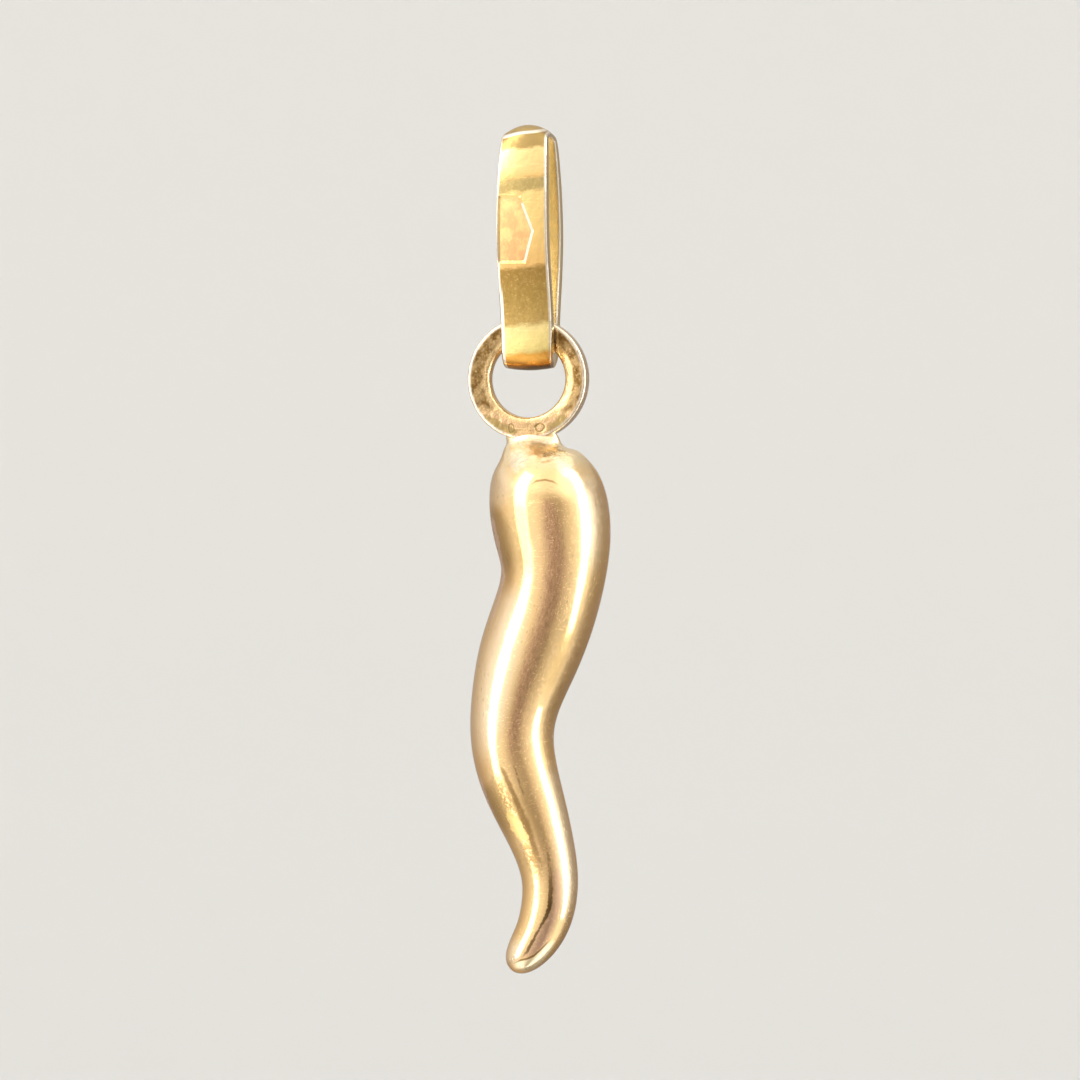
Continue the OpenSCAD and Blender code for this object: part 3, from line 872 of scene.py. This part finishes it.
def ring_finish(look, horn):
    """A painted highlight on the round outer edge, mottled brown faces that are paler and pitted low down, and
    a heat stain.
    """
    material = new_material("ring_gold")
    place = object_place(material)
    x, y, z = place.part(0), place.part(1), place.part(2) + look.drop / MM
    radius = (x * x + z * z).root()
    wobble = (place.noise(1.7, detail=3.0) - 0.5) * 0.3
    flat_in, flat_out = (look.hole + look.lip) / MM, (look.radius - look.rim) / MM
    face = (radius + wobble).between(flat_in - 0.16, flat_in + 0.05) * radius.between(
        flat_out + 0.12, flat_out + 0.04)
    mottle = place.noise(2.4, detail=6.0, roughness=0.66)
    flecks = place.noise(6.0, detail=5.0, roughness=0.75).between(0.55, 0.68)
    low = (z + wobble * 2).between(-0.95, -1.4)
    low_face = low * face
    front = y.between(0.1, -0.1)
    ragged = place.noise(4.0, detail=4.0) - 0.5
    olive = patch_mask(place, OLIVE_STAINS, ragged * 1.6, 0.35) * front
    bubbles = (patch_mask(place, BUBBLES, ragged * 0.8, 0.15)
               - patch_mask(place, BUBBLES, ragged * 0.8, 0.2, swell=0.62)).most(0) * front
    dull = face * (1 - low) * (1 - flecks * 0.5) * (0.72 + 0.28 * mottle.between(0.60, 0.44))
    dull = dull * (1 - 0.7 * x.between(1.1, 1.4) * radius.between(1.86, 1.72) * front)
    stain = place.noise(2.0, detail=4.0).between(0.5, 0.66) * z.between(-1.7, -2.2)
    pits = place.cells(4.5).between(0.18, 0.08) * place.noise(3.0).between(0.5, 0.62)
    lip = radius.between(flat_in - 0.02, flat_in - 0.1) * x.between(0.7, 1.2) * front
    # Painted highlight along the outer edge
    rim = radius.between(look.radius / MM - 0.18, look.radius / MM - 0.08)
    lines = hairlines(place, (0, 30, 0), 1.0, 0.04).most(hairlines(place, (0, -50, 0), 1.4, 0.03))
    colour = layered(look.gold, [
        (low_face, look.pale),
        (low_face * mottle.between(0.42, 0.6) * 0.6, horn.blush),
        (dull, look.tarnish),
        (olive * 0.8, OLIVE),
        (stain * 0.4, horn.stain),
        (pits * face * 0.6, RING_PIT),
        (bubbles * 0.75, BUBBLE_RIM),
        (lip * 0.7, shaded(look.gold, 0.7)),
        (rim * 0.6, look.rim_highlight),
    ])
    roughness = 0.18 + 0.2 * dull + 0.12 * olive + 0.05 * lines
    height = place.noise(3.0, detail=5.0) * 1.4 - pits * 0.9 - lines * 0.1 - bubbles * 0.7
    return finish_metal(material, colour, roughness, height, bump=0.03 * MM)


def horn_finish(look):
    """Polished gold with hairlines, a painted dark reflection band down its front, painted reflections,
    highlights and shade, worn patches, pits and a stain at the solder, partly a painted reflection.
    """
    material = new_material("horn_gold")
    place = object_place(material)
    unrolled = millimetres(place, named_attribute(material, "unrolled"))
    level, y, z = across(place), place.part(1), place.part(2)
    down = z + look.start / MM
    front = y.between(0.1, -0.2)
    ragged = place.noise(4.0, detail=4.0) - 0.5
    rough = place.noise(9.0, detail=5.0, roughness=0.75) - 0.5
    sideways = level + ragged * 0.16
    cloud = unrolled.placed(scale=(1, 1, 0.35)).noise(0.8, detail=4.0).between(0.42, 0.68)
    grain = unrolled.placed(scale=(12, 12, 4)).noise(1.0, detail=5.0, roughness=0.8)
    seam = abs(y).between(0.12, 0.04) * down.between(-0.6, -1.6) * unrolled.noise(1.3).between(0.4, 0.6)
    pearl = marks(z, sideways, SEAMS) * front
    # Painted dark reflection down the front, mottled with grain
    dark_reflection = mark(z, sideways, DARK_REFLECTION, 0.7) * front
    # Lower painted dark reflection, speckled
    low_dark_reflection = mark(z, level + rough * 0.22, LOW_DARK_REFLECTION, 0.3) * front
    low_blush = mark(z, sideways, LOW_BLUSH, 0.6) * front
    # Painted highlight under the tip, the floor's reflection
    tip_highlight = mark(level, z, TIP_HIGHLIGHT, 0.3) * front
    limb = marks(z, sideways, DULL_LIMBS, 0.65) * front
    # Painted reflections of the bright room along the limbs
    pale = marks(z, sideways, PALE_REFLECTIONS, 0.8) * front
    # Painted shade dimming the highlights
    highlight_shade = marks(z, sideways, HIGHLIGHT_SHADES, 0.8) * front
    # Painted shade beside the worn patch
    patch_shade = mark(z, sideways, SHADE_BY_PATCH, 0.9) * front
    # Painted shade over the left highlight, with more roughness
    haze_and_shade = marks(z, sideways, HAZE_AND_SHADE, 0.8) * rough.between(-0.16, 0.06) * front
    # Dark lines; the fine one across the shoulder is a painted reflection
    edge = mark(z, sideways, DARK_EDGE, 0.6).most(mark(level, z, FINE_LINE) * 0.9)
    edge = edge.most(mark(level + rough * 0.06, z + rough * 0.06, TIP_EDGE, 0.3)) * front
    dots = unrolled.placed(scale=(5, 5, 3)).cells(1.0).between(0.24, 0.1)
    dots *= unrolled.noise(0.7).between(0.45, 0.6)
    dotted = marks(z, sideways, DOTS) * rough.between(-0.06, 0.04) * front
    lines = hairlines(unrolled, (90, 8, 80), 3.0, 0.05).most(hairlines(unrolled, (0, 55, 0), 1.6, 0.035))
    rubbed = mark(z, level + ragged * 0.2, WORN, 0.55) * front
    worn = (rubbed * 0.9 + rough * 2.4).between(0.5, 0.68) * rubbed.between(0.05, 0.3)
    solder = down.between(-1.35, -0.5)
    stain = patch_mask(place, SOLDER_STAINS, ragged * 1.6, 0.6) * front
    glint = patch_mask(place, SOLDER_GLINTS, ragged * 1.8, 0.6) * front
    colour = layered(look.gold, [
        (cloud * 0.3, look.blush),
        (pale * 0.7, look.pale),
        (solder * 0.85, look.solder),
        (glint * 0.8, GLINT),
        (grain.between(0.5, 0.75) * 0.2, shaded(look.gold, 0.6)),
        (dark_reflection * grain.between(0.2, 0.5), look.dark_reflection),
        (dark_reflection * grain.between(0.46, 0.60) * 0.45, DARK_REFLECTION_GRAIN),
        (limb * (0.7 + 0.3 * cloud), look.dull),
        (highlight_shade * 0.75, HIGHLIGHT_SHADE_GOLD),
        (patch_shade * 0.8, PATCH_SHADE_GOLD),
        (haze_and_shade * 0.9, HAZE_SHADE_BROWN),
        (low_blush * 0.8, LOW_PINK),
        (tip_highlight * 0.85, TIP_HIGHLIGHT_CREAM),
        (low_dark_reflection * grain.between(0.1, 0.4), LOW_BROWN),
        (edge * 0.9, EDGE_BROWN),
        (dots * 0.3, shaded(look.gold, 0.5)),
        ((seam * 0.6).most(pearl * 0.65), look.seam_gold),
        (stain * 0.45, look.stain),
        (worn, look.worn),
        (dotted * 0.45, DOT_BROWN),
    ])
    roughness = (0.10 + 0.05 * cloud + 0.04 * lines + 0.34 * worn + 0.06 * stain + 0.1 * dark_reflection + 0.12 * limb
                 + 0.1 * pearl + 0.08 * low_dark_reflection + 0.32 * haze_and_shade + 0.16 * down.between(-1.1, -0.4))
    lumps = place.noise(2.6, detail=1.5) * solder
    height = (unrolled.noise(0.55, detail=2.0) * 1.5 - lines * 0.1 + lumps * 2.6
              + grain * (dark_reflection.most(limb) * 0.14 + 0.05))
    return finish_metal(material, colour, roughness, height)


# ---- Operators


class PENDANT_OT_bail(bpy.types.Operator):
    """Builds the strip bail, with its bare stamp recess"""

    bl_idname = "pendant.bail"
    bl_label = "Strip bail"

    def execute(self, context):
        scene = context.scene
        look = scene.pendant_bail
        bm = bmesh.new()
        strip = bm.verts.layers.float_vector.new("strip")
        rings, edges = bail_rings(look, scene.pendant_ring)
        for loop in loft(bm, rings, looped=True):
            for vert, edge in zip(loop, edges):
                vert[strip] = edge
        cage = new_piece("bail_cage", bm)
        subdivide(cage, 2)
        smooth = bpy.data.meshes.new_from_object(cage.evaluated_get(context.evaluated_depsgraph_get()))
        bpy.data.objects.remove(cage)
        bm = bmesh.new()
        bm.from_mesh(smooth)
        for index, faces in enumerate(press_recess(bm, look), 1):
            for face in faces:
                face.material_index = index
        piece = new_piece("bail_strip", bm, sharp=22)
        piece.data.materials.append(bail_finish(look))
        piece.data.materials.append(recess_finish(look))
        piece.data.materials.append(recess_wall_finish(look))
        mount(piece, "bail", "bail")
        return {"FINISHED"}


class PENDANT_OT_ring(bpy.types.Operator):
    """Builds the jump ring that is soldered to the horn"""

    bl_idname = "pendant.ring"
    bl_label = "Jump ring"

    def execute(self, context):
        scene = context.scene
        look = scene.pendant_ring
        centre = Vector((0, 0, -look.drop))
        step = 2 * math.pi / RING_TURNS
        swell = cage_swell(step, step)
        bm = bmesh.new()
        profile = ring_profile(look)
        verts = bmesh.ops.create_circle(bm, cap_ends=False, radius=1.0, segments=len(profile))["verts"]
        for vert, (radius, y) in zip(verts, profile):
            vert.co = centre + Vector((radius * swell, y, 0))
        bmesh.ops.spin(bm, geom=[*verts, *bm.edges], cent=centre, axis=(0, 1, 0), angle=2 * math.pi,
                       steps=RING_TURNS, use_merge=True)
        bmesh.ops.remove_doubles(bm, verts=bm.verts, dist=1e-7)
        bmesh.ops.recalc_face_normals(bm, faces=bm.faces)
        for vert in bm.verts:
            spoke = vert.co - centre
            outwards = (math.hypot(spoke.x, spoke.z) / swell - look.hole) / (look.radius - look.hole)
            deep = 1 - outwards / WORN_SHARE
            if vert.co.y < -look.thickness / 4 and deep > 0:
                turn = math.atan2(spoke.z, spoke.x) - math.radians(WORN_TURN)
                vert.co.y += look.worn * deep * max(0, math.cos(turn)) ** WORN_EASE
        piece = new_piece("jump_ring", bm)
        subdivide(piece, 2)
        piece.data.materials.append(ring_finish(look, scene.pendant_horn))
        mount(piece, "horn", "horn")
        return {"FINISHED"}


class PENDANT_OT_horn(bpy.types.Operator):
    """Builds the horn with its seam ridges and its solder waist"""

    bl_idname = "pendant.horn"
    bl_label = "Horn"

    def execute(self, context):
        look = context.scene.pendant_horn
        bm = bmesh.new()
        unrolled = bm.verts.layers.float_vector.new("unrolled")
        rings, flats = horn_rings(look)
        for loop, flat in zip(loft(bm, rings), flats):
            for vert, place in zip(loop, flat):
                vert[unrolled] = place
        piece = new_piece("horn_body", bm)
        subdivide(piece, 2)
        piece.data.materials.append(horn_finish(look))
        mount(piece, "horn", "horn")
        return {"FINISHED"}


def aim(thing):
    """Turns a light or camera towards the pendant."""
    thing.rotation_euler = (TARGET - thing.location).to_track_quat("-Z", "Y").to_euler()


def soft_box(name, turn, lift, distance, width, height, power, colour=(1, 1, 1)):
    """A flat light towards the pendant, hidden from the camera. Turn and lift are in degrees."""
    data = bpy.data.lights.new(name, "AREA")
    data.shape = "RECTANGLE"
    data.size, data.size_y = width, height
    data.energy = power
    data.color = colour
    light = bpy.data.objects.new(name, data)
    a, e = math.radians(turn), math.radians(lift)
    light.location = TARGET + distance * Vector(
        (math.sin(a) * math.cos(e), -math.cos(a) * math.cos(e), math.sin(e)))
    aim(light)
    light.visible_camera = False
    bpy.context.scene.collection.objects.link(light)
    return light


def studio_air(look):
    """The world: pale to the camera, and a soft room of lighter and darker walls in reflections."""
    world = bpy.data.worlds.new("Studio")
    world.use_nodes = True
    world.node_tree.nodes.clear()
    wire = Wire(world.node_tree)
    direction = wire.node("ShaderNodeTexCoord", output=0)
    x, y, z = direction.part(0), direction.part(1), direction.part(2)
    turn = x.maths("ARCTAN2", x, 0 - y) - look.camera_turn
    turn = turn.maths("WRAP", turn, math.pi, -math.pi) / (2 * math.pi) + 0.5

    def wall(stops):
        return turn.node("ShaderNodeValToRGB", {"stops": [
            (degrees / 360 + 0.5, [level / BRIGHTEST_WALL * c for c in (1.0, tone, tone * tone)])
            for degrees, level, tone in stops]}, {0: turn})

    walls = z.between(0.24, 0.50).mixed(wall(LOW_WALLS), wall(HIGH_WALLS))
    walls = z.between(0.75, 0.98).mixed(walls, ZENITH)
    lift = ramp(z, -1, 1, [(height, (level / BRIGHTEST_LIFT,) * 3) for height, level in LIFTS])
    room = wire.node("ShaderNodeMix", {"data_type": "RGBA", "blend_type": "MULTIPLY"},
                     {0: 1.0, 6: walls, 7: lift}, output=2)
    seen = wire.node("ShaderNodeBackground", None, {"Color": (*look.floor, 1), "Strength": BACKDROP_LEVEL})
    felt = wire.node("ShaderNodeBackground", None, {"Color": room, "Strength": BRIGHTEST_LIFT * BRIGHTEST_WALL})
    seen_directly, on_paper = (wire.node("ShaderNodeLightPath", output=i) for i in (0, 2))
    shader = wire.node("ShaderNodeMixShader", None, {0: seen_directly.most(on_paper), 1: felt, 2: seen})
    wire.node("ShaderNodeOutputWorld", None, {"Surface": shader})
    bpy.context.scene.world = world


class PENDANT_OT_stage(bpy.types.Operator):
    """Builds the floor that sweeps up behind, the soft light and the camera"""

    bl_idname = "pendant.stage"
    bl_label = "Stage"

    def execute(self, context):
        scene = context.scene
        look = scene.pendant_stage
        bm = bmesh.new()
        verts = [
            bmesh.ops.create_vert(bm, co=(radius, 0, up - look.floor_drop))["vert"][0]
            for radius, up in FLOOR_OUTLINE
        ]
        edges = [bmesh.ops.contextual_create(bm, geom=pair)["edges"][0] for pair in zip(verts, verts[1:])]
        bmesh.ops.spin(bm, geom=[*verts, *edges], cent=(0, 0, 0), axis=(0, 0, 1), angle=2 * math.pi,
                       steps=FLOOR_TURNS, use_merge=True)
        bmesh.ops.remove_doubles(bm, verts=bm.verts, dist=1e-6)
        bmesh.ops.recalc_face_normals(bm, faces=bm.faces)
        floor = new_piece("floor", bm)
        subdivide(floor, 2)
        material = new_material("floor_paper")
        wire = Wire(material.node_tree)
        shader = wire.node("ShaderNodeBsdfPrincipled", None, {"Base Color": (*look.floor, 1), "Roughness": 0.9})
        wire.node("ShaderNodeOutputMaterial", None, {"Surface": shader})
        floor.data.materials.append(material)
        floor.visible_glossy = False
        front = math.degrees(look.camera_turn)
        for name, turn, width, power, colour in (
                ("left_box", -58, 0.18, look.left_power, (1.0, 0.98, 0.94)),
                ("right_box", 65, 0.16, look.right_power, (1, 1, 1))):
            soft_box(name, front + turn, BOX_LIFT, BOX_DISTANCE, width, BOX_HEIGHT, power, colour)
        top = soft_box("top_light", front, lift=80, distance=0.6, width=0.5, height=0.5, power=look.top_power)
        top.visible_glossy = False
        studio_air(look)
        data = bpy.data.cameras.new("camera")
        data.sensor_width = SENSOR_MM
        data.lens = LENS_MM
        data.clip_start, data.clip_end = 0.005, 20
        camera = bpy.data.objects.new("camera", data)
        scene.collection.objects.link(camera)
        a = look.camera_turn
        camera.location = TARGET + look.camera_distance * Vector((math.sin(a), -math.cos(a), 0))
        aim(camera)
        scene.camera = camera
        scene.view_settings.view_transform = "Standard"
        return {"FINISHED"}


class PENDANT_PT_sidebar(bpy.types.Panel):
    """Lists the pieces and their sizes and colours"""

    bl_idname = "PENDANT_PT_sidebar"
    bl_label = "Horn pendant"
    bl_space_type = "VIEW_3D"
    bl_region_type = "UI"
    bl_category = "Pendant"

    def draw(self, context):
        for operator, look in zip(OPERATORS, LOOKS):
            box = self.layout.box()
            box.operator(operator.bl_idname)
            group = getattr(context.scene, look)
            for name in group.bl_rna.properties.keys():
                if name not in ("rna_type", "name"):
                    box.prop(group, name)


OPERATORS = (PENDANT_OT_bail, PENDANT_OT_ring, PENDANT_OT_horn, PENDANT_OT_stage)
LOOKS = {
    "pendant_bail": BailLook, "pendant_ring": RingLook, "pendant_horn": HornLook, "pendant_stage": StageLook,
}
CLASSES = (*LOOKS.values(), *OPERATORS, PENDANT_PT_sidebar)


def register():
    for cls in CLASSES:
        bpy.utils.register_class(cls)
    for name, group in LOOKS.items():
        setattr(bpy.types.Scene, name, PointerProperty(type=group))


def unregister():
    for name in LOOKS:
        delattr(bpy.types.Scene, name)
    for cls in reversed(CLASSES):
        bpy.utils.unregister_class(cls)


def main():
    register()
    bpy.ops.pendant.bail()
    bpy.ops.pendant.ring()
    bpy.ops.pendant.horn()
    bpy.ops.pendant.stage()


if __name__ == "__main__":
    main()
